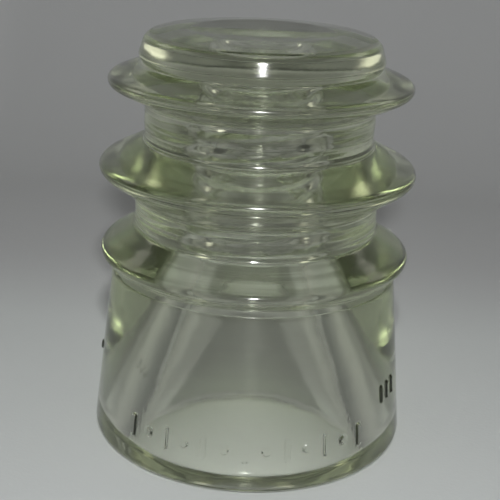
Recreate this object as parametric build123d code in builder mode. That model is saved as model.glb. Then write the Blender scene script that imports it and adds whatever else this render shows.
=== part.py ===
"""Pressed-glass pin insulator with two wire grooves, one solid piece of glass.

The piece stands on its open base. +Z is up along the axis of the pin hole, the origin is the centre
of the base, and -Y is the front, where the long row of raised marks is. Millimetres and degrees.
"""

from build123d import *
import math
import os
from dataclasses import dataclass

# Whole piece
OVERALL_HEIGHT = 114.0
MERGE = 0.6  # how far an added shape reaches into the glass, so that the two join

# Skirt, from the flat base up to the mould line
BASE_RADIUS = 44.8
BASE_EDGE_ROUNDING = 2.6
SKIRT_TOP_RADIUS = 39.7
MOULD_LINE_HEIGHT = 48.4
MOULD_STEP = 0.3

# Flanges: rim radius and height, rounding of the rim, slopes of the faces from level
LOWER_FLANGE_RADIUS = 42.9
LOWER_FLANGE_HEIGHT = 53.8
LOWER_FLANGE_ROUNDING = 2.1
LOWER_FLANGE_UPPER_SLOPE = 33.0
LOWER_FLANGE_LOWER_SLOPE = 38.0

MIDDLE_FLANGE_RADIUS = 43.2
MIDDLE_FLANGE_HEIGHT = 77.3
MIDDLE_FLANGE_ROUNDING = 2.4
MIDDLE_FLANGE_UPPER_SLOPE = 26.0
MIDDLE_FLANGE_LOWER_SLOPE = 35.0

UPPER_FLANGE_RADIUS = 40.7
UPPER_FLANGE_HEIGHT = 100.7
UPPER_FLANGE_ROUNDING = 2.0
UPPER_FLANGE_UPPER_SLOPE = 21.0
UPPER_FLANGE_LOWER_SLOPE = 26.0

# Necks: the bottoms of the two wire grooves
LOWER_NECK_RADIUS = 33.7
UPPER_NECK_RADIUS = 31.4
NECK_ROUNDING = 1.6

# Crown
CROWN_FOOT_RADIUS = 32.1
CROWN_LIP_RADIUS = 33.0
CROWN_LIP_BELOW_TOP = 6.6
CROWN_LIP_ROUNDING = 0.7
CROWN_SHOULDER_RADIUS = 31.3
CROWN_SHOULDER_BELOW_TOP = 0.9
CROWN_SHOULDER_ROUNDING = 3.2
DISH_RADIUS = 19.8
DISH_DEPTH = 2.6
DISH_RIM_WIDTH = 1.4
DISH_RIM_ROUNDING = 1.0

# Hollow of the skirt, a cone that narrows from the mouth up to the pin hole
MOUTH_RADIUS = 30.9
MOUTH_ROUNDING = 1.8
HOLLOW_TOP_OVER_COLLAR = 0.8  # how much wider the cone's top is than the collar above it
HOLLOW_TOP_HEIGHT = 45.0
HOLLOW_TOP_ROUNDING = 2.5

# Pin hole: a plain collar, then a tapered thread for a 1 inch insulator pin, four turns to the inch
COLLAR_RADIUS = 14.6
COLLAR_OVER_HOLLOW = 1.5  # height of the slope between the hollow's top and the collar
COLLAR_LENGTH = 3.0
THREAD_PITCH = 6.35
THREAD_DEPTH = 1.9
THREAD_ROOT_CLEARANCE = 0.1  # how far the first root stays inside the collar's wall
THREAD_TAPER = 1.0 / 32.0  # radius lost for each millimetre of height
THREAD_CREST_WIDTH = 1.2
THREAD_ROOT_ROUNDING = 1.0
THREAD_RUN_IN = 1.5  # plain hole between the collar and the first groove
BLIND_END_LENGTH = 4.5  # plain hole above the last turn
BLIND_END_ROUNDING = 4.0
GLASS_OVER_HOLE = 14.0  # from the hole's end to the bottom of the dish

# Raised marks around the skirt: a row of bars and dots in front, bars on the right, dots on the left
MARK_RELIEF = 0.6
FRONT_ANGLE = -90.0
FRONT_MARK_HEIGHT = 12.5
FRONT_MARK_COUNT = 13
FRONT_MARK_STEP = 7.3  # degrees between neighbours
FRONT_BAR_SIZE = (1.5, 6.4)
FRONT_DOT_RADIUS = 1.2
RIGHT_MARK_HEIGHT = 20.0
RIGHT_MARK_ANGLES = (-31.0, -26.0, -21.0)
RIGHT_BAR_SIZE = (1.4, 5.0)
LEFT_MARK_HEIGHT = 22.0
LEFT_MARK_ANGLES = (168.0, 175.0, 182.0)
LEFT_DOT_RADIUS = 1.3


@dataclass
class Flange:
    """A drip ring with two sloping faces that meet in a rounded rim."""

    radius: float
    height: float
    rounding: float
    upper_slope: float
    lower_slope: float

    def __post_init__(self):
        self.centre = self.radius - self.rounding
        self.upper = math.radians(self.upper_slope)
        self.lower = math.radians(self.lower_slope)

    def upper_height(self, radius):
        """Height of the upper face's line at a radius."""
        top = self.height + self.rounding / math.cos(self.upper)
        return top - (radius - self.centre) * math.tan(self.upper)

    def lower_height(self, radius):
        """Height of the lower face's line at a radius."""
        bottom = self.height - self.rounding / math.cos(self.lower)
        return bottom + (radius - self.centre) * math.tan(self.lower)

    def corner(self):
        """Where the two faces would meet if the rim weren't rounded."""
        reach = self.rounding * (1 / math.cos(self.upper) + 1 / math.cos(self.lower))
        radius = self.centre + reach / (math.tan(self.upper) + math.tan(self.lower))
        return radius, self.upper_height(radius)


lower_flange = Flange(
    LOWER_FLANGE_RADIUS,
    LOWER_FLANGE_HEIGHT,
    LOWER_FLANGE_ROUNDING,
    LOWER_FLANGE_UPPER_SLOPE,
    LOWER_FLANGE_LOWER_SLOPE,
)
middle_flange = Flange(
    MIDDLE_FLANGE_RADIUS,
    MIDDLE_FLANGE_HEIGHT,
    MIDDLE_FLANGE_ROUNDING,
    MIDDLE_FLANGE_UPPER_SLOPE,
    MIDDLE_FLANGE_LOWER_SLOPE,
)
upper_flange = Flange(
    UPPER_FLANGE_RADIUS,
    UPPER_FLANGE_HEIGHT,
    UPPER_FLANGE_ROUNDING,
    UPPER_FLANGE_UPPER_SLOPE,
    UPPER_FLANGE_LOWER_SLOPE,
)


def outside_outline():
    """Corners of the outside from the base to the crown, as (radius, height, rounding)."""
    over_step = SKIRT_TOP_RADIUS - MOULD_STEP
    lip_height = OVERALL_HEIGHT - CROWN_LIP_BELOW_TOP
    shoulder_height = OVERALL_HEIGHT - CROWN_SHOULDER_BELOW_TOP
    return [
        (BASE_RADIUS, 0.0, BASE_EDGE_ROUNDING),
        (SKIRT_TOP_RADIUS, MOULD_LINE_HEIGHT, 0.0),
        (over_step, MOULD_LINE_HEIGHT, 0.0),
        (over_step, lower_flange.lower_height(over_step), 0.0),
        (*lower_flange.corner(), LOWER_FLANGE_ROUNDING),
        (LOWER_NECK_RADIUS, lower_flange.upper_height(LOWER_NECK_RADIUS), NECK_ROUNDING),
        (LOWER_NECK_RADIUS, middle_flange.lower_height(LOWER_NECK_RADIUS), NECK_ROUNDING),
        (*middle_flange.corner(), MIDDLE_FLANGE_ROUNDING),
        (UPPER_NECK_RADIUS, middle_flange.upper_height(UPPER_NECK_RADIUS), NECK_ROUNDING),
        (UPPER_NECK_RADIUS, upper_flange.lower_height(UPPER_NECK_RADIUS), NECK_ROUNDING),
        (*upper_flange.corner(), UPPER_FLANGE_ROUNDING),
        (CROWN_FOOT_RADIUS, upper_flange.upper_height(CROWN_FOOT_RADIUS), 0.0),
        (CROWN_LIP_RADIUS, lip_height, CROWN_LIP_ROUNDING),
        (CROWN_SHOULDER_RADIUS, shoulder_height, CROWN_SHOULDER_ROUNDING),
    ]


collar_start = HOLLOW_TOP_HEIGHT + COLLAR_OVER_HOLLOW
collar_end = collar_start + COLLAR_LENGTH
thread_start = collar_end + THREAD_RUN_IN + THREAD_PITCH / 2
pin_hole_top = OVERALL_HEIGHT - DISH_DEPTH - GLASS_OVER_HOLE
thread_height = pin_hole_top - BLIND_END_LENGTH - THREAD_PITCH / 2 - thread_start
first_crest_radius = COLLAR_RADIUS - THREAD_ROOT_CLEARANCE - THREAD_DEPTH


def crest_radius(height):
    """Radius of the tapered hole, measured on the thread's crests."""
    return first_crest_radius - (height - thread_start) * THREAD_TAPER


def skirt_radius(height):
    """Radius of the skirt's outside at a height."""
    share = height / MOULD_LINE_HEIGHT
    return BASE_RADIUS + (SKIRT_TOP_RADIUS - BASE_RADIUS) * share


def skirt_plane(angle, height):
    """Plane lying against the skirt's sloping outside, with its Y axis up the slope."""
    turn = math.radians(angle)
    lean = math.atan2(BASE_RADIUS - SKIRT_TOP_RADIUS, MOULD_LINE_HEIGHT)
    radius = skirt_radius(height)
    origin = (radius * math.cos(turn), radius * math.sin(turn), height)
    outwards = (
        math.cos(lean) * math.cos(turn),
        math.cos(lean) * math.sin(turn),
        math.sin(lean),
    )
    return Plane(origin=origin, x_dir=(-math.sin(turn), math.cos(turn), 0), z_dir=outwards)


with BuildPart() as glass_body:
    # Outside: skirt, three flanges, two necks and the crown, turned about the axis
    with BuildSketch(Plane.XZ):
        with BuildLine():
            corners = outside_outline()
            FilletPolyline(
                (0, 0),
                *[(radius, height) for radius, height, _ in corners],
                (DISH_RADIUS + DISH_RIM_WIDTH, OVERALL_HEIGHT),
                (0, OVERALL_HEIGHT),
                radius=[rounding for _, _, rounding in corners] + [0.0],
            )
            Line((0, OVERALL_HEIGHT), (0, 0))
        make_face()
    revolve(axis=Axis.Z)

    # Dish in the top of the crown, a shallow part of a ball, with its rim softened
    dish_ball_radius = (DISH_RADIUS**2 + DISH_DEPTH**2) / (2 * DISH_DEPTH)
    with Locations((0, 0, OVERALL_HEIGHT - DISH_DEPTH + dish_ball_radius)):
        Sphere(dish_ball_radius, mode=Mode.SUBTRACT)
    top_edges = glass_body.edges().filter_by(GeomType.CIRCLE).group_by(Axis.Z)[-1]
    fillet(top_edges.sort_by(SortBy.RADIUS)[0], DISH_RIM_ROUNDING)

    # Hollow of the skirt, the collar and the tapered pin hole with its rounded blind end
    with BuildSketch(Plane.XZ):
        with BuildLine():
            FilletPolyline(
                (0, 0),
                (MOUTH_RADIUS, 0),
                (COLLAR_RADIUS + HOLLOW_TOP_OVER_COLLAR, HOLLOW_TOP_HEIGHT),
                (COLLAR_RADIUS, collar_start),
                (COLLAR_RADIUS, collar_end),
                (crest_radius(thread_start), collar_end + THREAD_RUN_IN),
                (crest_radius(pin_hole_top), pin_hole_top),
                (0, pin_hole_top),
                radius=[0, HOLLOW_TOP_ROUNDING, 0, 0, 0, BLIND_END_ROUNDING],
            )
            Line((0, pin_hole_top), (0, 0))
        make_face()
    revolve(axis=Axis.Z, mode=Mode.SUBTRACT)
    base_edges = glass_body.edges().filter_by(GeomType.CIRCLE).group_by(Axis.Z)[0]
    fillet(base_edges.sort_by(SortBy.RADIUS)[0], MOUTH_ROUNDING)

    # Thread: one groove with a rounded root, swept up a tapered helix
    with BuildLine() as thread_path:
        Helix(
            pitch=THREAD_PITCH,
            height=thread_height,
            radius=crest_radius(thread_start),
            center=(0, 0, thread_start),
            cone_angle=-math.degrees(math.atan(THREAD_TAPER)),
        )
    groove_half_width = (THREAD_PITCH - THREAD_CREST_WIDTH) / 2
    with BuildSketch(
        Plane(
            origin=thread_path.line @ 0,
            x_dir=(1, 0, 0),
            z_dir=thread_path.line % 0,
        )
    ):
        with BuildLine():
            FilletPolyline(
                (-MERGE, groove_half_width),
                (0, groove_half_width),
                (THREAD_DEPTH, 0),
                (0, -groove_half_width),
                (-MERGE, -groove_half_width),
                radius=[0, THREAD_ROOT_ROUNDING, 0],
            )
            Line((-MERGE, -groove_half_width), (-MERGE, groove_half_width))
        make_face()
    sweep(path=thread_path.line, is_frenet=True, mode=Mode.SUBTRACT)

    # Row across the front of the skirt, bars and dots in turn
    for index in range(FRONT_MARK_COUNT):
        place = FRONT_ANGLE + (index - (FRONT_MARK_COUNT - 1) / 2) * FRONT_MARK_STEP
        with BuildSketch(skirt_plane(place, FRONT_MARK_HEIGHT).offset(-MERGE)):
            if index % 2 == 0:
                SlotOverall(FRONT_BAR_SIZE[1], FRONT_BAR_SIZE[0], rotation=90)
            else:
                Circle(FRONT_DOT_RADIUS)
        extrude(amount=MERGE + MARK_RELIEF)

    # Bars at the right of the skirt
    for place in RIGHT_MARK_ANGLES:
        with BuildSketch(skirt_plane(place, RIGHT_MARK_HEIGHT).offset(-MERGE)):
            SlotOverall(RIGHT_BAR_SIZE[1], RIGHT_BAR_SIZE[0], rotation=90)
        extrude(amount=MERGE + MARK_RELIEF)

    # Dots at the left of the skirt
    for place in LEFT_MARK_ANGLES:
        with BuildSketch(skirt_plane(place, LEFT_MARK_HEIGHT).offset(-MERGE)):
            Circle(LEFT_DOT_RADIUS)
        extrude(amount=MERGE + MARK_RELIEF)

glass_body.part.label = "glass_body"

os.makedirs("parts", exist_ok=True)
export_step(glass_body.part, "parts/glass_body.step")
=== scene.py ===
"""The looks of a pressed-glass pin insulator: one clear, faintly green piece on a pale sweep.

Sizes are in millimetres and become metres as the meshes are made. The piece stands on its open
base, its axis is +Z and its front, where the raised marks are, faces -Y.
"""

import logging
import math
from collections.abc import Callable
from dataclasses import dataclass, field
from enum import Enum
from typing import ClassVar

import bmesh
import bpy
from mathutils import Matrix, Vector, noise


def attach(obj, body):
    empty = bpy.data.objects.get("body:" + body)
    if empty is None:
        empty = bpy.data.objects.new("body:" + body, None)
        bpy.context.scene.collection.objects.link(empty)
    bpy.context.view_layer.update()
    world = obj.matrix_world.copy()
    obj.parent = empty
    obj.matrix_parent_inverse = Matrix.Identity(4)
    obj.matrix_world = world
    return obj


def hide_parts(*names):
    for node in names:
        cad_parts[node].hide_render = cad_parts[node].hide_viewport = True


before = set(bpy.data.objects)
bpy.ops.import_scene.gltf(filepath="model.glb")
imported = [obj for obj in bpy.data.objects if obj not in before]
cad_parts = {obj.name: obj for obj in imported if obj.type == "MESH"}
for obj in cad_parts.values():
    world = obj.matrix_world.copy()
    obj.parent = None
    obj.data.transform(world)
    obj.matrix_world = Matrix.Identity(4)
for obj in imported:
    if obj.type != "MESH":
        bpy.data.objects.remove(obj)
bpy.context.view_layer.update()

MM = 0.001
FULL_TURN = 2.0 * math.pi
MERGE_DISTANCE = 1e-7
ON_AXIS = 1e-4
ON_END = 0.1
NO_LIGHT_CAST = (1.0, 1.0, 1.0)
log = logging.getLogger("pin_insulator")


class MarkShape(Enum):
    """Outline of one raised mark on the skirt."""

    BAR = "bar"
    DOT = "dot"


@dataclass(frozen=True)
class Corner:
    """A corner of a turned outline, with the radius it is rounded to.

    Attributes:
        radius: Distance from the axis.
        height: Height over the base.
        rounding: Radius of the rounding, 0 for a sharp corner.
        segments: Edges in the rounding.
    """

    radius: float
    height: float
    rounding: float = 0.0
    segments: int = 6


@dataclass(frozen=True)
class Flange:
    """A drip ring with two sloping faces that meet in a rounded rim.

    Attributes:
        radius: Radius of the rim.
        height: Height of the rim's centre.
        rounding: Radius of the rim's rounding.
        upper_slope: Slope of the upper face from level, in degrees.
        lower_slope: Slope of the lower face from level, in degrees.
        segments: Edges in the rim's rounding.
    """

    radius: float
    height: float
    rounding: float
    upper_slope: float
    lower_slope: float
    segments: int = 14

    def upper_height(self, radius: float) -> float:
        """Gives the height of the upper face's line.

        Args:
            radius: Distance from the axis.

        Returns:
            The height there.
        """
        slope = math.radians(self.upper_slope)
        top = self.height + self.rounding / math.cos(slope)
        return top - (radius - self.radius + self.rounding) * math.tan(slope)

    def lower_height(self, radius: float) -> float:
        """Gives the height of the lower face's line.

        Args:
            radius: Distance from the axis.

        Returns:
            The height there.
        """
        slope = math.radians(self.lower_slope)
        bottom = self.height - self.rounding / math.cos(slope)
        return bottom + (radius - self.radius + self.rounding) * math.tan(slope)

    def rim(self) -> Corner:
        """Gives the corner where the two faces meet.

        Returns:
            The corner, rounded to the rim's radius.
        """
        upper, lower = math.radians(self.upper_slope), math.radians(self.lower_slope)
        reach = self.rounding * (1 / math.cos(upper) + 1 / math.cos(lower))
        spread = math.tan(upper) + math.tan(lower)
        radius = self.radius - self.rounding + reach / spread
        return Corner(radius, self.upper_height(radius), self.rounding, self.segments)


@dataclass
class TurnedShape:
    """A shape turned about the axis from an outline that starts and ends on it.

    Attributes:
        corners: The outline's corners in order.
        step_at: Gives the longest edge allowed at a radius and a height.
        turns: Steps in the full turn.
    """

    corners: list[Corner]
    step_at: Callable[[float, float], float]
    turns: int

    def _round(self, bm: bmesh.types.BMesh, point: bmesh.types.BMVert, corner: Corner) -> None:
        """Rounds one corner of the wire.

        Args:
            bm: The wire.
            point: The corner's vertex.
            corner: Its sizes.
        """
        before, after = (edge.other_vert(point).co - point.co for edge in point.link_edges)
        half_turn = (math.pi - before.angle(after)) / 2
        bmesh.ops.bevel(
            bm,
            geom=[point],
            offset=corner.rounding * MM * math.tan(half_turn),
            offset_type="ABSOLUTE",
            segments=corner.segments,
            profile=0.5,
            affect="VERTICES",
            material=-1,
        )

    def wire(self) -> bmesh.types.BMesh:
        """Draws the outline as a wire, rounds its corners and divides its long edges.

        Returns:
            A bmesh that holds the wire, for the caller to free.
        """
        bm = bmesh.new()
        points = [bm.verts.new((c.radius * MM, 0.0, c.height * MM)) for c in self.corners]
        for pair in zip(points, points[1:]):
            bm.edges.new(pair)
        for point, corner in zip(points, self.corners):
            if corner.rounding:
                self._round(bm, point, corner)
        for edge in list(bm.edges):
            middle = (edge.verts[0].co + edge.verts[1].co) / (2 * MM)
            pieces = math.ceil(edge.calc_length() / MM / self.step_at(middle.x, middle.z))
            if pieces > 1:
                bmesh.ops.subdivide_edges(bm, edges=[edge], cuts=pieces - 1)
        return bm

    def turn(self) -> bmesh.types.BMesh:
        """Spins the wire into a closed skin.

        Returns:
            A bmesh that holds the skin, for the caller to free.
        """
        bm = self.wire()
        bmesh.ops.spin(
            bm,
            geom=bm.verts[:] + bm.edges[:],
            cent=(0.0, 0.0, 0.0),
            axis=(0.0, 0.0, 1.0),
            angle=FULL_TURN,
            steps=self.turns,
            use_merge=True,
            use_duplicate=False,
        )
        bmesh.ops.remove_doubles(bm, verts=bm.verts, dist=MERGE_DISTANCE)
        bmesh.ops.recalc_face_normals(bm, faces=bm.faces)
        return bm


@dataclass(frozen=True)
class PinThread:
    """The tapered thread of the pin hole, pressed as one groove with a rounded root.

    Attributes:
        start: Height of the first groove at the +X side.
        end: Height where the groove runs out.
        pitch: Rise of one turn.
        depth: Depth of the groove.
        crest: Width of the flat crest.
        run_out: Height over which the groove fades at both ends.
        fullness: How far the groove's section leans from a plain V to a round root.
    """

    start: float
    end: float
    pitch: float = 6.35
    depth: float = 1.9
    crest: float = 1.2
    run_out: float = 2.5
    fullness: float = 0.35

    def depth_at(self, turn: float, height: float) -> float:
        """Gives the groove's depth at a point of the hole's wall.

        Args:
            turn: Angle about the axis, in radians.
            height: Height over the base.

        Returns:
            The depth in millimetres.
        """
        phase = (height - self.start) / self.pitch - turn / FULL_TURN
        away = abs(phase - round(phase)) * self.pitch
        half_width = (self.pitch - self.crest) / 2
        share = max(0.0, 1.0 - away / half_width)
        bulge = math.sin(share * math.pi / 2)
        rounded = bulge * self.fullness + share * (1.0 - self.fullness)
        low = (height - self.start + self.pitch / 2) / self.run_out
        high = (self.end + self.pitch / 2 - height) / self.run_out
        return self.depth * rounded * max(0.0, min(1.0, low, high))


@dataclass(frozen=True)
class RaisedMark:
    """One raised mark on the skirt.

    Attributes:
        shape: Bar or dot.
        angle: Angle about the axis, in degrees.
        height: Height of its middle.
        width: Full width along the skirt.
        length: Full height up the skirt.
    """

    shape: MarkShape
    angle: float
    height: float
    width: float
    length: float

    def cover(self, turn: float, height: float, radius: float, softness: float) -> float:
        """Gives how much of the mark's relief a point of the skirt takes.

        Args:
            turn: Angle about the axis, in radians.
            height: Height of the point.
            radius: Radius of the skirt there.
            softness: Width of the mark's sloping edge.

        Returns:
            A share from 0, off the mark, to 1, on it.
        """
        swing = (turn - math.radians(self.angle) + math.pi) % FULL_TURN - math.pi
        across, up = abs(swing) * radius, abs(height - self.height)
        if self.shape is MarkShape.DOT:
            gap = math.hypot(across, up) - self.width / 2
        else:
            straight = (self.length - self.width) / 2
            gap = math.hypot(across, max(0.0, up - straight)) - self.width / 2
        share = min(1.0, max(0.0, 0.5 - gap / softness))
        return share * share * (3.0 - 2.0 * share)


@dataclass(frozen=True)
class MarkZone:
    """A patch of the skirt that holds marks and needs finer faces.

    Attributes:
        angle: Angle of its middle about the axis, in degrees.
        reach: Angle from its middle to its sides, in degrees.
        low: Height of its lower edge.
        high: Height of its upper edge.
    """

    angle: float
    reach: float
    low: float
    high: float

    def holds(self, turn: float, height: float) -> bool:
        """Tells whether a point of the skirt lies in the zone.

        Args:
            turn: Angle about the axis, in radians.
            height: Height over the base.

        Returns:
            True inside the zone.
        """
        swing = (turn - math.radians(self.angle) + math.pi) % FULL_TURN - math.pi
        return abs(math.degrees(swing)) < self.reach and self.low < height < self.high


@dataclass(frozen=True)
class Ripples:
    """Level ripples that the turning of the mould left in the necks and the rings.

    Attributes:
        depth: Depth scale in millimetres.
        level: Share of the depth that is the same everywhere, so that no ripple stands proud.
        coarse: Share, change around and change up of the broad ripples.
        fine: Share, change around and change up of the fine ripples.
    """

    depth: float = 0.085
    level: float = 1.6
    coarse: tuple[float, float, float] = (0.9, 0.9, 0.42)
    fine: tuple[float, float, float] = (1.0, 1.2, 1.05)

    def push_at(self, turn: float, height: float) -> float:
        """Gives how far the ripples push the skin in or out.

        Args:
            turn: Angle about the axis, in radians.
            height: Height over the base.

        Returns:
            The push in millimetres, never outwards.
        """
        around = Vector((math.cos(turn), math.sin(turn), 0.0))
        share, turning, rising = self.coarse
        broad = share * noise.noise(around * turning + Vector((0.0, 0.0, height * rising)))
        share, turning, rising = self.fine
        small = share * noise.noise(around * turning + Vector((7.0, 3.0, height * rising)))
        return -self.depth * (self.level + broad + small)


@dataclass(frozen=True)
class PressedGlass:
    """Clear pressed glass with a faint olive tint, waves from the mould and fine rough streaks
    greyed with painted shade.

    Attributes:
        name: Name of the material.
        ior: Index of refraction.
        roughness: Roughness of the fire-polished skin.
        rougher: Roughness that the streaks add.
        absorbed: Share of each colour that the density below takes off.
        density: Density of the absorption, per metre.
        clear: Colour that the plain skin lets through.
        painted_line_shade: Painted shade: the grey colour that a streak lets through, standing in
            for the shade lines that the necks' ripples show by refraction.
        streak_rows: Fine lines for each metre of height.
        streak_turns: Changes along a line for each metre.
        streak_range: Values of the noise where a streak begins and is full.
        streak_zone: Pairs of height in millimetres and amount of streaks.
        passed: Pairs of height in millimetres and share of a lamp's light that a skin lets through.
        waves: Scale, depth in metres and strength of the mould's waves and of the fine pits.
    """

    name: str = "clear_pressed_glass"
    ior: float = 1.52
    roughness: float = 0.09
    rougher: float = 0.07
    absorbed: tuple[float, float, float] = (0.37, 0.28, 0.66)
    density: float = 10.0
    clear: tuple[float, float, float] = (0.99, 0.99, 0.985)
    painted_line_shade: tuple[float, float, float] = (0.58, 0.58, 0.55)
    streak_rows: float = 900.0
    streak_turns: float = 14.0
    streak_range: tuple[float, float] = (0.47, 0.63)
    streak_zone: tuple[tuple[float, float], ...] = (
        (50.0, 0.04),
        (56.0, 1.0),
        (106.0, 1.0),
        (110.0, 0.35),
    )
    passed: tuple[tuple[float, float], ...] = (
        (0.0, 0.30),
        (44.0, 0.30),
        (50.0, 0.15),
        (114.0, 0.15),
    )
    waves: tuple[tuple[float, float, float], ...] = (
        (110.0, 0.00030, 0.35),
        (900.0, 0.00003, 0.30),
    )

    def _streaks(self, tree: bpy.types.NodeTree) -> bpy.types.NodeSocket:
        """Makes a mask of fine level streaks that follow the turned surface; it roughens the skin
        and lays on the painted shade lines.

        Args:
            tree: The material's node tree.

        Returns:
            The mask's socket, 0 to 1.
        """
        nodes, links = tree.nodes, tree.links
        place = nodes.new("ShaderNodeTexCoord")
        stretch = nodes.new("ShaderNodeMapping")
        turns = self.streak_turns
        stretch.inputs["Scale"].default_value = (turns, turns, self.streak_rows)
        grain = nodes.new("ShaderNodeTexNoise")
        grain.inputs["Scale"].default_value = 1.0
        grain.inputs["Detail"].default_value = 3.0
        grain.inputs["Roughness"].default_value = 0.6
        spread = nodes.new("ShaderNodeMapRange")
        spread.inputs["From Min"].default_value = self.streak_range[0]
        spread.inputs["From Max"].default_value = self.streak_range[1]
        links.new(place.outputs["Object"], stretch.inputs["Vector"])
        links.new(stretch.outputs["Vector"], grain.inputs["Vector"])
        links.new(grain.outputs["Fac"], spread.inputs["Value"])
        return spread.outputs["Result"]

    def _band(
        self, tree: bpy.types.NodeTree, stops: tuple[tuple[float, float], ...]
    ) -> bpy.types.NodeSocket:
        """Makes a mask that changes with height only.

        Args:
            tree: The material's node tree.
            stops: Pairs of height in millimetres and value.

        Returns:
            The mask's socket.
        """
        nodes, links = tree.nodes, tree.links
        place = nodes.new("ShaderNodeTexCoord")
        split = nodes.new("ShaderNodeSeparateXYZ")
        scale = nodes.new("ShaderNodeMapRange")
        scale.inputs["From Max"].default_value = GlassBody.height * MM
        ramp = nodes.new("ShaderNodeValToRGB")
        elements = ramp.color_ramp.elements
        while len(elements) < len(stops):
            elements.new(0.5)
        for element, (height, value) in zip(elements, stops):
            element.position = height / GlassBody.height
            element.color = (value, value, value, 1.0)
        links.new(place.outputs["Object"], split.inputs["Vector"])
        links.new(split.outputs["Z"], scale.inputs["Value"])
        links.new(scale.outputs["Result"], ramp.inputs["Fac"])
        return ramp.outputs["Color"]

    def _skin(self, tree: bpy.types.NodeTree) -> bpy.types.NodeSocket:
        """Makes the pressed skin's waves and pits as a bumped normal.

        Args:
            tree: The material's node tree.

        Returns:
            The normal's socket.
        """
        nodes, links = tree.nodes, tree.links
        place = nodes.new("ShaderNodeTexCoord")
        normal = None
        for scale, distance, strength in self.waves:
            waves = nodes.new("ShaderNodeTexNoise")
            waves.inputs["Scale"].default_value = scale
            waves.inputs["Detail"].default_value = 1.5
            bump = nodes.new("ShaderNodeBump")
            bump.inputs["Distance"].default_value = distance
            bump.inputs["Strength"].default_value = strength
            links.new(place.outputs["Object"], waves.inputs["Vector"])
            links.new(waves.outputs["Fac"], bump.inputs["Height"])
            if normal is not None:
                links.new(normal, bump.inputs["Normal"])
            normal = bump.outputs["Normal"]
        return normal

    def make(self) -> bpy.types.Material:
        """Builds the material.

        Returns:
            The glass, with its tint in the volume.
        """
        material = bpy.data.materials.new(self.name)
        material.use_nodes = True
        tree = material.node_tree
        nodes, links = tree.nodes, tree.links
        glass = nodes["Principled BSDF"]
        glass.inputs["Transmission Weight"].default_value = 1.0
        glass.inputs["IOR"].default_value = self.ior

        zone = self._band(tree, self.streak_zone)
        amount = nodes.new("ShaderNodeMath")
        amount.operation = "MULTIPLY"
        links.new(self._streaks(tree), amount.inputs[0])
        links.new(zone, amount.inputs[1])
        # Painted shade: the streaks grey the glass's colour in fine level lines on the necks,
        # standing in for the shade lines that the ripples show by refraction.
        tint = nodes.new("ShaderNodeMix")
        tint.data_type = "RGBA"
        tint.inputs["A"].default_value = (*self.clear, 1.0)
        tint.inputs["B"].default_value = (*self.painted_line_shade, 1.0)
        links.new(amount.outputs["Value"], tint.inputs["Factor"])
        links.new(tint.outputs["Result"], glass.inputs["Base Color"])

        rough = nodes.new("ShaderNodeMapRange")
        rough.inputs["To Min"].default_value = self.roughness
        rough.inputs["To Max"].default_value = self.roughness + self.rougher
        links.new(amount.outputs["Value"], rough.inputs["Value"])
        links.new(rough.outputs["Result"], glass.inputs["Roughness"])
        links.new(self._skin(tree), glass.inputs["Normal"])

        through = nodes.new("ShaderNodeBsdfTransparent")
        links.new(self._band(tree, self.passed), through.inputs["Color"])
        path = nodes.new("ShaderNodeLightPath")
        choose = nodes.new("ShaderNodeMixShader")
        output = nodes["Material Output"]
        links.new(path.outputs["Is Shadow Ray"], choose.inputs["Fac"])
        links.new(glass.outputs["BSDF"], choose.inputs[1])
        links.new(through.outputs["BSDF"], choose.inputs[2])
        links.new(choose.outputs["Shader"], output.inputs["Surface"])

        tinted = nodes.new("ShaderNodeVolumeAbsorption")
        tinted.inputs["Color"].default_value = (*(1.0 - share for share in self.absorbed), 1.0)
        tinted.inputs["Density"].default_value = self.density
        links.new(tinted.outputs["Volume"], output.inputs["Volume"])
        return material


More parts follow.
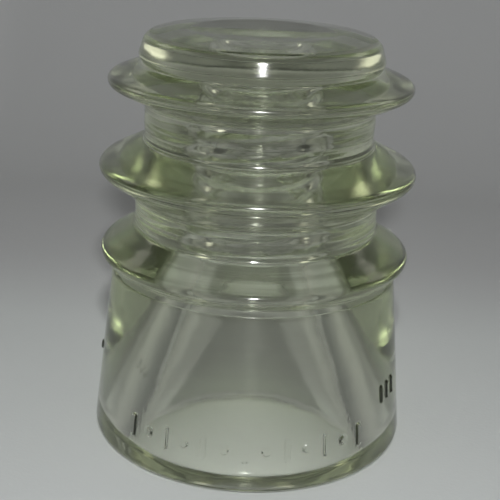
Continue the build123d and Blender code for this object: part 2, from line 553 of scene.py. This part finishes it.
@dataclass
class GlassBody:
    """The insulator: skirt, three drip rings, two wire grooves, crown and threaded pin hole.

    The sizes are those of the solid that it stands for. Heights are over the base.

    Attributes:
        height: Full height.
        base_radius: Radius that the skirt would have at the base with no rounding there.
        base_rounding: Radius of the base's outer edge.
        skirt_top_radius: Radius of the skirt at the mould line.
        mould_line: Height of the line that the two mould halves leave.
        mould_ledge: How far the glass over the mould line is set back.
        mould_rounding: Radius of the ledge's edge.
        lower_flange: The lowest drip ring.
        middle_flange: The middle drip ring.
        upper_flange: The highest drip ring.
        lower_neck: Radius of the lower wire groove.
        upper_neck: Radius of the upper wire groove.
        neck_rounding: Radius in the corners of both grooves.
        crown_foot: Radius where the crown meets the highest ring.
        crown_foot_rounding: Radius of that corner.
        crown_lip: The crown's widest corner.
        crown_shoulder: The crown's upper corner.
        dish_radius: Radius of the dish in the crown.
        dish_depth: Depth of the dish.
        dish_rim: Width of the level rim around the dish.
        dish_rounding: Radius of the rim's inner edge.
        dish_bow: How far the dish's flanks bow down, as a share of its depth.
        edge_rounding: Radius of the smaller edges.
        mouth_radius: Radius of the hollow at the base.
        mouth_rounding: Radius of the hollow's edge at the base.
        hollow_top: The corner at the hollow's upper end.
        collar_radius: Radius of the smooth collar that a pin enters by.
        collar_start: Height of the collar's lower end.
        collar_length: Length of the collar.
        thread_run_in: Height of the cone from the collar to the thread's crests.
        thread_taper: Change of radius for each unit of height in the threaded hole.
        root_clearance: How much smaller than the collar the thread's roots are.
        glass_over_hole: Glass between the hole's blind end and the dish.
        blind_end: Length of the hole over the thread.
        blind_rounding: Radius at the hole's blind end.
        turns: Steps of the mesh in a full turn.
        sharp_angle: Angle in degrees over which an edge of the mesh is shaded sharp.
        thread_margin: How far under its first groove the thread's fine edges start.
        neck_margin: Slack on radii and heights that set the necks and the thread apart.
        neck_reach: Radius where the necks' fine edges end and the rings' longer ones begin.
        thread_step: Longest edge in the thread.
        neck_step: Longest edge on the necks.
        flange_step: Longest edge on the drip rings.
        plain_step: Longest edge elsewhere.
        relief: How far the raised marks stand out.
        mark_softness: Width of the marks' sloping edges.
        mark_cuts: Cuts in each edge of a face that carries a mark.
        ripples: The level ripples of the necks and the rings.
        ripple_fade: Height over the mould line where the ripples reach their full depth.
        ripple_end: Height over the highest ring's rim where the ripples end.
        sag: Depth of the slow dents of cooling glass.
        sag_scale: Dents for each millimetre.
        sag_edge: Width at the axis, the base and the top that the dents leave alone.
        front_height: Height of the front row's middle.
        front_marks: Number of marks in the front row.
        front_gap: Angle from one front mark to the next, in degrees.
        front_bar: Width and length of the front bars.
        front_dot: Size of the front dots.
        right_bar: Width and length of the bars at the right.
        right_height: Height of those bars.
        right_angles: Their angles about the axis, in degrees.
        left_dot: Size of the dots at the left.
        left_height: Height of those dots.
        left_angles: Their angles about the axis, in degrees.
        mark_zones: The patches of the skirt that hold marks.
        marked_heights: Lowest and highest height that any mark reaches.
        finish: The glass.
    """

    height: ClassVar[float] = 114.0
    base_radius: float = 44.8
    base_rounding: float = 2.6
    skirt_top_radius: float = 39.7
    mould_line: float = 48.4
    mould_ledge: float = 0.3
    mould_rounding: float = 0.15
    lower_flange: Flange = Flange(42.9, 53.8, 2.1, 33.0, 38.0)
    middle_flange: Flange = Flange(43.2, 77.3, 2.4, 26.0, 35.0)
    upper_flange: Flange = Flange(40.7, 100.7, 2.0, 21.0, 26.0)
    lower_neck: float = 33.7
    upper_neck: float = 31.4
    neck_rounding: float = 1.6
    crown_foot: float = 32.1
    crown_foot_rounding: float = 0.5
    crown_lip: Corner = Corner(33.0, 107.4, 0.7, 5)
    crown_shoulder: Corner = Corner(31.3, 113.1, 3.2, 12)
    dish_radius: float = 19.8
    dish_depth: float = 2.6
    dish_rim: float = 1.4
    dish_rounding: float = 1.0
    dish_bow: float = 0.9
    edge_rounding: float = 0.6
    mouth_radius: float = 30.9
    mouth_rounding: float = 1.8
    hollow_top: Corner = Corner(15.4, 45.0, 2.5, 6)
    collar_radius: float = 14.6
    collar_start: float = 46.5
    collar_length: float = 3.0
    thread_run_in: float = 1.5
    thread_taper: float = 1.0 / 32.0
    root_clearance: float = 0.1
    glass_over_hole: float = 14.0
    blind_end: float = 4.5
    blind_rounding: float = 4.0
    turns: int = 192
    sharp_angle: float = 50.0
    thread_margin: float = 4.0
    neck_margin: float = 0.5
    neck_reach: float = 35.0
    thread_step: float = 0.56
    neck_step: float = 0.48
    flange_step: float = 1.0
    plain_step: float = 1.3
    relief: float = 0.58
    mark_softness: float = 0.22
    mark_cuts: int = 3
    ripples: Ripples = Ripples()
    ripple_fade: float = 3.0
    ripple_end: float = 5.0
    sag: float = 0.05
    sag_scale: float = 0.06
    sag_edge: float = 1.0
    front_height: float = 12.5
    front_marks: int = 13
    front_gap: float = 7.3
    front_bar: tuple[float, float] = (1.5, 6.4)
    front_dot: float = 2.4
    right_bar: tuple[float, float] = (1.3, 5.0)
    right_height: float = 20.0
    right_angles: tuple[float, ...] = (-31.0, -26.0, -21.0)
    left_dot: float = 2.6
    left_height: float = 22.0
    left_angles: tuple[float, ...] = (168.0, 175.0, 182.0)
    mark_zones: tuple[MarkZone, ...] = (
        MarkZone(-90.0, 47.0, 7.5, 17.5),
        MarkZone(-26.0, 8.0, 16.0, 25.5),
        MarkZone(180.0, 16.0, 18.0, 25.5),
    )
    marked_heights: tuple[float, float] = (7.0, 27.0)
    finish: PressedGlass = field(default_factory=PressedGlass)

    def __post_init__(self) -> None:
        """Works out the thread from the height of the piece."""
        pitch = PinThread.pitch
        self.hole_top = self.height - self.dish_depth - self.glass_over_hole
        start = self.collar_start + self.collar_length + self.thread_run_in + pitch / 2
        end = self.hole_top - self.blind_end - pitch / 2
        self.thread = PinThread(start, end)
        self.first_crest = self.collar_radius - self.root_clearance - self.thread.depth

    def crest_radius(self, height: float) -> float:
        """Gives the radius of the tapered hole on the thread's crests.

        Args:
            height: Height over the base.

        Returns:
            The radius there.
        """
        return self.first_crest - (height - self.thread.start) * self.thread_taper

    def outside(self) -> list[Corner]:
        """Gives the outside's corners, from the middle of the dish down to the base.

        Returns:
            The corners in order.
        """
        set_back = self.skirt_top_radius - self.mould_ledge
        upper, middle, lower = self.upper_flange, self.middle_flange, self.lower_flange
        soft, edge, foot = self.neck_rounding, self.edge_rounding, self.crown_foot_rounding
        return [
            Corner(0.0, self.height - self.dish_depth),
            Corner(self.dish_radius, self.height, self.dish_rounding, 4),
            Corner(self.dish_radius + self.dish_rim, self.height, edge, 3),
            self.crown_shoulder,
            self.crown_lip,
            Corner(self.crown_foot, upper.upper_height(self.crown_foot), foot, 3),
            upper.rim(),
            Corner(self.upper_neck, upper.lower_height(self.upper_neck), soft),
            Corner(self.upper_neck, middle.upper_height(self.upper_neck), soft),
            middle.rim(),
            Corner(self.lower_neck, middle.lower_height(self.lower_neck), soft),
            Corner(self.lower_neck, lower.upper_height(self.lower_neck), soft),
            lower.rim(),
            Corner(set_back, lower.lower_height(set_back), edge, 3),
            Corner(set_back, self.mould_line),
            Corner(self.skirt_top_radius, self.mould_line, self.mould_rounding, 3),
            Corner(self.base_radius, 0.0, self.base_rounding, 10),
        ]

    def inside(self) -> list[Corner]:
        """Gives the hollow's corners, from the mouth up to the pin hole's blind end.

        Returns:
            The corners in order.
        """
        collar_end = self.collar_start + self.collar_length
        run_in = collar_end + self.thread_run_in
        return [
            Corner(self.mouth_radius, 0.0, self.mouth_rounding, 7),
            self.hollow_top,
            Corner(self.collar_radius, self.collar_start),
            Corner(self.collar_radius, collar_end),
            Corner(self.crest_radius(self.thread.start), run_in, self.edge_rounding, 3),
            Corner(self.crest_radius(self.hole_top), self.hole_top, self.blind_rounding, 8),
            Corner(0.0, self.hole_top),
        ]

    def _step_at(self, radius: float, height: float) -> float:
        """Gives the longest edge allowed: fine in the thread and on the necks.

        Args:
            radius: Distance from the axis.
            height: Height over the base.

        Returns:
            The length in millimetres.
        """
        low, high = self.thread.start - self.thread_margin, self.hole_top - self.neck_margin
        if low < height < high and radius < self.collar_radius:
            return self.thread_step
        if height > self.lower_flange.height and radius > self.upper_neck - 2 * self.neck_margin:
            return self.neck_step if radius < self.neck_reach else self.flange_step
        return self.plain_step

    def marks(self) -> list[RaisedMark]:
        """Lays out the raised marks: a row of bars and dots in front, smaller ones at the sides.

        Returns:
            The marks.
        """
        bar, dot = MarkShape.BAR, MarkShape.DOT
        first = -90.0 - (self.front_marks - 1) / 2 * self.front_gap
        row = []
        for index in range(self.front_marks):
            angle, height = first + index * self.front_gap, self.front_height
            if index % 2 == 0:
                row.append(RaisedMark(bar, angle, height, *self.front_bar))
            else:
                row.append(RaisedMark(dot, angle, height, self.front_dot, self.front_dot))
        right = [RaisedMark(bar, a, self.right_height, *self.right_bar) for a in self.right_angles]
        size = self.left_dot
        left = [RaisedMark(dot, a, self.left_height, size, size) for a in self.left_angles]
        return row + right + left

    def _divide_marked_zones(self, bm: bmesh.types.BMesh) -> None:
        """Divides the skirt's faces finely where the marks stand.

        Args:
            bm: The turned skin.
        """
        edges, cuts = set(), self.mark_cuts
        for face in bm.faces:
            x, y, z = face.calc_center_median() / MM
            if math.hypot(x, y) < self.skirt_top_radius:
                continue
            turn = math.atan2(y, x)
            if any(zone.holds(turn, z) for zone in self.mark_zones):
                edges.update(face.edges)
        bmesh.ops.subdivide_edges(bm, edges=list(edges), cuts=cuts, use_grid_fill=True)

    def _push_at(self, turn: float, height: float, radius: float, marks: list[RaisedMark]) -> float:
        """Gives how far the thread, the ripples or a mark pushes a point of the skin out.

        Args:
            turn: Angle about the axis, in radians.
            height: Height over the base.
            radius: Distance from the axis.
            marks: The raised marks.

        Returns:
            The push in millimetres, negative inwards.
        """
        thread = self.thread
        low, high = self.marked_heights
        if radius < self.collar_radius and height > thread.start - thread.pitch:
            on_wall = height < self.hole_top - ON_END
            return thread.depth_at(turn, height) if on_wall else 0.0
        if radius > self.upper_neck - self.neck_margin and height > self.mould_line:
            if height > self.upper_flange.height + self.ripple_end:
                return 0.0
            ramp = min(1.0, (height - self.mould_line) / self.ripple_fade)
            return ramp * self.ripples.push_at(turn, height)
        if radius > self.skirt_top_radius - self.sag_edge and low < height < high:
            covers = [mark.cover(turn, height, radius, self.mark_softness) for mark in marks]
            return self.relief * max(covers)
        return 0.0

    def _shape_skin(self, bm: bmesh.types.BMesh) -> None:
        """Presses the thread, the ripples, the sag and the marks into the turned skin.

        Args:
            bm: The turned skin.
        """
        marks, edge = self.marks(), self.sag_edge
        for vert in bm.verts:
            place = vert.co / MM
            radius = math.hypot(place.x, place.y)
            if radius < ON_AXIS:
                continue
            push = self._push_at(math.atan2(place.y, place.x), place.z, radius, marks)
            if radius > edge and edge < place.z < self.height - edge:
                push -= self.sag * (0.5 + 0.5 * noise.noise(place * self.sag_scale))
            vert.co.x += push * MM * place.x / radius
            vert.co.y += push * MM * place.y / radius

    def _bow_dish(self, bm: bmesh.types.BMesh) -> None:
        """Bows the dish's straight flanks into a shallow bowl.

        Args:
            bm: The turned skin.
        """
        bottom = self.height - self.dish_depth - ON_END
        for vert in bm.verts:
            share = math.hypot(vert.co.x, vert.co.y) / MM / self.dish_radius
            if vert.co.z / MM > bottom and share < 1.0:
                vert.co.z -= self.dish_depth * self.dish_bow * (share - share * share) * MM

    def build(self) -> bpy.types.Object:
        """Builds the glass body and dresses it.

        Returns:
            The finished piece at the origin.
        """
        shape = TurnedShape(self.outside() + self.inside(), self._step_at, self.turns)
        bm = shape.turn()
        self._bow_dish(bm)
        self._divide_marked_zones(bm)
        self._shape_skin(bm)
        bmesh.ops.recalc_face_normals(bm, faces=bm.faces)
        mesh = bpy.data.meshes.new("glass_body_pressed")
        bm.to_mesh(mesh)
        bm.free()
        mesh.shade_smooth()
        mesh.set_sharp_from_angle(angle=math.radians(self.sharp_angle))
        mesh.materials.append(self.finish.make())
        piece = bpy.data.objects.new("glass_body_pressed", mesh)
        bpy.context.scene.collection.objects.link(piece)
        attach(piece, "root")
        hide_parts("glass_body")
        return piece


@dataclass(frozen=True)
class PaleCloth:
    """Matt pale cloth with a fine nap, and light and shade painted into its colour: slow patches of
    light, a lit front, shade behind the piece and more light far to the sides.

    Attributes:
        name: Name of the material.
        light: The colour painted for the cloth where the lamp lights it, in front.
        shaded_colour: The colour painted for the cloth in shade, behind the piece.
        patches: Scale of the slow patches.
        pale: The palest colour, painted light far to the sides.
        fade: Where the painted pool of lamp light in front ends and the painted shade behind the
            piece begins.
        aside: How far to the sides the painted shade ends and the palest painted light begins.
        mottle: How strongly the slow patches show.
        nap: Scale, depth in metres and strength of the cloth's nap.
        roughness: Roughness of the cloth.
        specular: How strongly it shines.
    """

    name: str
    light: tuple[float, float, float]
    shaded_colour: tuple[float, float, float]
    patches: float = 9.0
    pale: tuple[float, float, float] = (0.82, 0.83, 0.83)
    fade: tuple[float, float] = (40.0, 150.0)
    aside: tuple[float, float] = (135.0, 230.0)
    mottle: float = 0.25
    nap: tuple[float, float, float] = (900.0, 0.0003, 0.2)
    roughness: float = 0.95
    specular: float = 0.1

    def make(self) -> bpy.types.Material:
        """Builds the material.

        Returns:
            The cloth.
        """
        material = bpy.data.materials.new(self.name)
        material.use_nodes = True
        nodes, links = material.node_tree.nodes, material.node_tree.links
        cloth = nodes["Principled BSDF"]
        cloth.inputs["Roughness"].default_value = self.roughness
        cloth.inputs["Specular IOR Level"].default_value = self.specular
        place = nodes.new("ShaderNodeTexCoord")
        patch = nodes.new("ShaderNodeTexNoise")
        patch.inputs["Scale"].default_value = self.patches
        patch.inputs["Detail"].default_value = 2.0
        # Painted light and shade: the lit colour in front passes into the shaded colour behind the
        # piece, with slow patches of painted light over both.
        mix = nodes.new("ShaderNodeMix")
        mix.data_type = "RGBA"
        mix.inputs["A"].default_value = (*self.shaded_colour, 1.0)
        mix.inputs["B"].default_value = (*self.light, 1.0)
        split = nodes.new("ShaderNodeSeparateXYZ")
        fade = nodes.new("ShaderNodeMapRange")
        fade.interpolation_type = "SMOOTHSTEP"
        fade.inputs["From Min"].default_value = self.fade[1] * MM
        fade.inputs["From Max"].default_value = self.fade[0] * MM
        # Painted light far to the sides: the cloth turns to its palest colour there.
        aside = nodes.new("ShaderNodeMapRange")
        aside.interpolation_type = "SMOOTHSTEP"
        aside.inputs["From Min"].default_value = self.aside[0] * MM
        aside.inputs["From Max"].default_value = self.aside[1] * MM
        across = nodes.new("ShaderNodeMath")
        across.operation = "ABSOLUTE"
        painted_side_light = nodes.new("ShaderNodeMix")
        painted_side_light.data_type = "RGBA"
        painted_side_light.inputs["B"].default_value = (*self.pale, 1.0)
        painted_light_share = nodes.new("ShaderNodeMath")
        painted_light_share.operation = "MULTIPLY_ADD"
        painted_light_share.inputs[1].default_value = self.mottle
        nap = nodes.new("ShaderNodeTexNoise")
        nap.inputs["Scale"].default_value = self.nap[0]
        bump = nodes.new("ShaderNodeBump")
        bump.inputs["Distance"].default_value = self.nap[1]
        bump.inputs["Strength"].default_value = self.nap[2]
        links.new(place.outputs["Object"], patch.inputs["Vector"])
        links.new(place.outputs["Object"], nap.inputs["Vector"])
        links.new(place.outputs["Object"], split.inputs["Vector"])
        links.new(split.outputs["Y"], fade.inputs["Value"])
        links.new(patch.outputs["Fac"], painted_light_share.inputs[0])
        links.new(split.outputs["X"], across.inputs[0])
        links.new(across.outputs["Value"], aside.inputs["Value"])
        links.new(fade.outputs["Result"], painted_light_share.inputs[2])
        links.new(aside.outputs["Result"], painted_side_light.inputs["Factor"])
        links.new(mix.outputs["Result"], painted_side_light.inputs["A"])
        links.new(painted_light_share.outputs["Value"], mix.inputs["Factor"])
        links.new(painted_side_light.outputs["Result"], cloth.inputs["Base Color"])
        links.new(nap.outputs["Fac"], bump.inputs["Height"])
        links.new(bump.outputs["Normal"], cloth.inputs["Normal"])
        return material


@dataclass
class Sweep:
    """A pale floor that curves up into a backdrop behind the piece.

    Attributes:
        drop: How far the floor lies under the base, so that air stays between them.
        front: How far the floor reaches forward.
        back: Where the backdrop stands.
        bend: Radius of the curve between them.
        width: Full width.
        rise: Height of the backdrop.
        segments: Edges in the bend.
        finish: The cloth it is covered with.
    """

    drop: float = 0.4
    front: float = -900.0
    back: float = 420.0
    bend: float = 190.0
    width: float = 2400.0
    rise: float = 900.0
    segments: int = 24
    # The cloth's first colour is painted lamp light in front, the second painted shade behind the
    # piece.
    finish: PaleCloth = PaleCloth("pale_cloth", (0.63, 0.655, 0.65), (0.525, 0.53, 0.535))

    def build(self) -> bpy.types.Object:
        """Builds the sweep from one bent line pulled sideways.

        Returns:
            The sweep.
        """
        bm = bmesh.new()
        left = -self.width / 2 * MM
        line = [(self.front, -self.drop), (self.back, -self.drop), (self.back, self.rise)]
        points = [bm.verts.new((left, y * MM, z * MM)) for y, z in line]
        edges = [bm.edges.new(pair) for pair in zip(points, points[1:])]
        bmesh.ops.bevel(
            bm,
            geom=[points[1]],
            offset=self.bend * MM,
            offset_type="ABSOLUTE",
            segments=self.segments,
            profile=0.5,
            affect="VERTICES",
            material=-1,
        )
        pulled = bmesh.ops.extrude_edge_only(bm, edges=list(bm.edges))
        moved = [item for item in pulled["geom"] if isinstance(item, bmesh.types.BMVert)]
        bmesh.ops.translate(bm, verts=moved, vec=(self.width * MM, 0.0, 0.0))
        bmesh.ops.recalc_face_normals(bm, faces=bm.faces)
        mesh = bpy.data.meshes.new("sweep")
        bm.to_mesh(mesh)
        bm.free()
        mesh.shade_smooth()
        mesh.materials.append(self.finish.make())
        sweep = bpy.data.objects.new("sweep", mesh)
        bpy.context.scene.collection.objects.link(sweep)
        return sweep


@dataclass(frozen=True)
class Panel:
    """One soft light panel.

    Attributes:
        name: Name of the light.
        place: Where it hangs, in millimetres.
        aim: What it points at, in millimetres.
        size: Width and height, in millimetres.
        power: Power in watts.
        colour: Colour of the light.
    """

    name: str
    place: tuple[float, float, float]
    aim: tuple[float, float, float]
    size: tuple[float, float]
    power: float
    colour: tuple[float, float, float] = NO_LIGHT_CAST

    def hang(self) -> bpy.types.Object:
        """Hangs the panel.

        Returns:
            The light.
        """
        lamp = bpy.data.lights.new(self.name, "AREA")
        lamp.shape = "RECTANGLE"
        lamp.size, lamp.size_y = self.size[0] * MM, self.size[1] * MM
        lamp.energy = self.power
        lamp.color = self.colour
        light = bpy.data.objects.new(self.name, lamp)
        place = Vector(self.place) * MM
        towards = Vector(self.aim) * MM - place
        light.matrix_world = Matrix.Translation(place) @ (
            towards.to_track_quat("-Z", "Y").to_matrix().to_4x4()
        )
        bpy.context.scene.collection.objects.link(light)
        return light


@dataclass
class Studio:
    """Soft light from the front in a room that is dim overhead and paler around the walls.

    Attributes:
        room: Pairs of height of view, from -1 straight down to 1 straight up, and brightness.
        sides: Gain of the room straight ahead and behind, and at its two sides.
        cast: Colour of the room's light.
        panels: The light panels.
    """

    sides: tuple[float, float] = (0.8, 1.3)
    room: tuple[tuple[float, float], ...] = (
        (-1.0, 0.05),
        (-0.2, 0.16),
        (0.08, 0.25),
        (0.35, 0.12),
        (0.7, 0.05),
    )
    cast: tuple[float, float, float] = (0.97, 0.99, 1.0)
    panels: tuple[Panel, ...] = (
        Panel("front_lamp", (4, -330, 250), (0, 420, 150), (22, 14), 1.35),
        Panel("soft_top", (0, -60, 900), (0, 40, 0), (500, 400), 0.3),
        Panel("left_glow", (-450, 260, 410), (0, 0, 100), (200, 150), 0.12, (1.0, 0.97, 0.85)),
        Panel("right_glow", (450, 260, 410), (0, 0, 100), (200, 150), 0.12, (1.0, 0.97, 0.85)),
    )

    def _shade_room(self, world: bpy.types.World) -> None:
        """Gives the room its brightness by height of view, and more of it at the two sides.

        Args:
            world: The world to shade.
        """
        nodes, links = world.node_tree.nodes, world.node_tree.links
        look = nodes.new("ShaderNodeTexCoord")
        split = nodes.new("ShaderNodeSeparateXYZ")
        rise = nodes.new("ShaderNodeMapRange")
        rise.inputs["From Min"].default_value = -1.0
        ramp = nodes.new("ShaderNodeValToRGB")
        elements = ramp.color_ramp.elements
        while len(elements) < len(self.room):
            elements.new(0.5)
        for element, (height, value) in zip(elements, self.room):
            element.position = (height + 1.0) / 2.0
            element.color = (*(value * share for share in self.cast), 1.0)
        aside = nodes.new("ShaderNodeMath")
        aside.operation = "MULTIPLY"
        gain = nodes.new("ShaderNodeMath")
        gain.operation = "MULTIPLY_ADD"
        gain.inputs[1].default_value = self.sides[1] - self.sides[0]
        gain.inputs[2].default_value = self.sides[0]
        links.new(look.outputs["Generated"], split.inputs["Vector"])
        links.new(split.outputs["Z"], rise.inputs["Value"])
        links.new(split.outputs["X"], aside.inputs[0])
        links.new(split.outputs["X"], aside.inputs[1])
        links.new(aside.outputs["Value"], gain.inputs[0])
        links.new(gain.outputs["Value"], nodes["Background"].inputs["Strength"])
        links.new(rise.outputs["Result"], ramp.inputs["Fac"])
        links.new(ramp.outputs["Color"], nodes["Background"].inputs["Color"])

    def light(self) -> None:
        """Lights the scene."""
        world = bpy.data.worlds.new("dim_room")
        world.use_nodes = True
        self._shade_room(world)
        bpy.context.scene.world = world
        for panel in self.panels:
            panel.hang()


@dataclass(frozen=True)
class Viewpoint:
    """Where the camera stands.

    Attributes:
        place: Its place, in millimetres.
        aim: What it points at, in millimetres.
        roll: Turn about its own axis, in radians.
        lens: Focal length in millimetres on a 36 mm wide sensor.
    """

    place: tuple[float, float, float] = (0.0, -296.35, 158.37)
    aim: tuple[float, float, float] = (-1.14, 0.0, 52.27)
    roll: float = 0.043
    lens: float = 80.0

    def set_up(self) -> bpy.types.Object:
        """Puts the camera in place and makes it the scene's own.

        Returns:
            The camera.
        """
        data = bpy.data.cameras.new("camera")
        data.sensor_width = 36.0
        data.lens = self.lens
        camera = bpy.data.objects.new("camera", data)
        place = Vector(self.place) * MM
        towards = Vector(self.aim) * MM - place
        turned = towards.to_track_quat("-Z", "Y").to_matrix().to_4x4()
        camera.matrix_world = (
            Matrix.Translation(place) @ turned @ Matrix.Rotation(self.roll, 4, "Z")
        )
        bpy.context.scene.collection.objects.link(camera)
        bpy.context.scene.camera = camera
        return camera


def main() -> None:
    """Builds the piece, then the sweep, the lights and the camera."""
    logging.basicConfig(level=logging.INFO, format="%(name)s: %(message)s")
    bpy.context.scene.view_settings.view_transform = "Standard"
    piece = GlassBody().build()
    log.info("%s: %d faces", piece.name, len(piece.data.polygons))
    sweep = Sweep().build()
    log.info("%s: %d faces", sweep.name, len(sweep.data.polygons))
    Studio().light()
    Viewpoint().set_up()


if __name__ == "__main__":
    main()
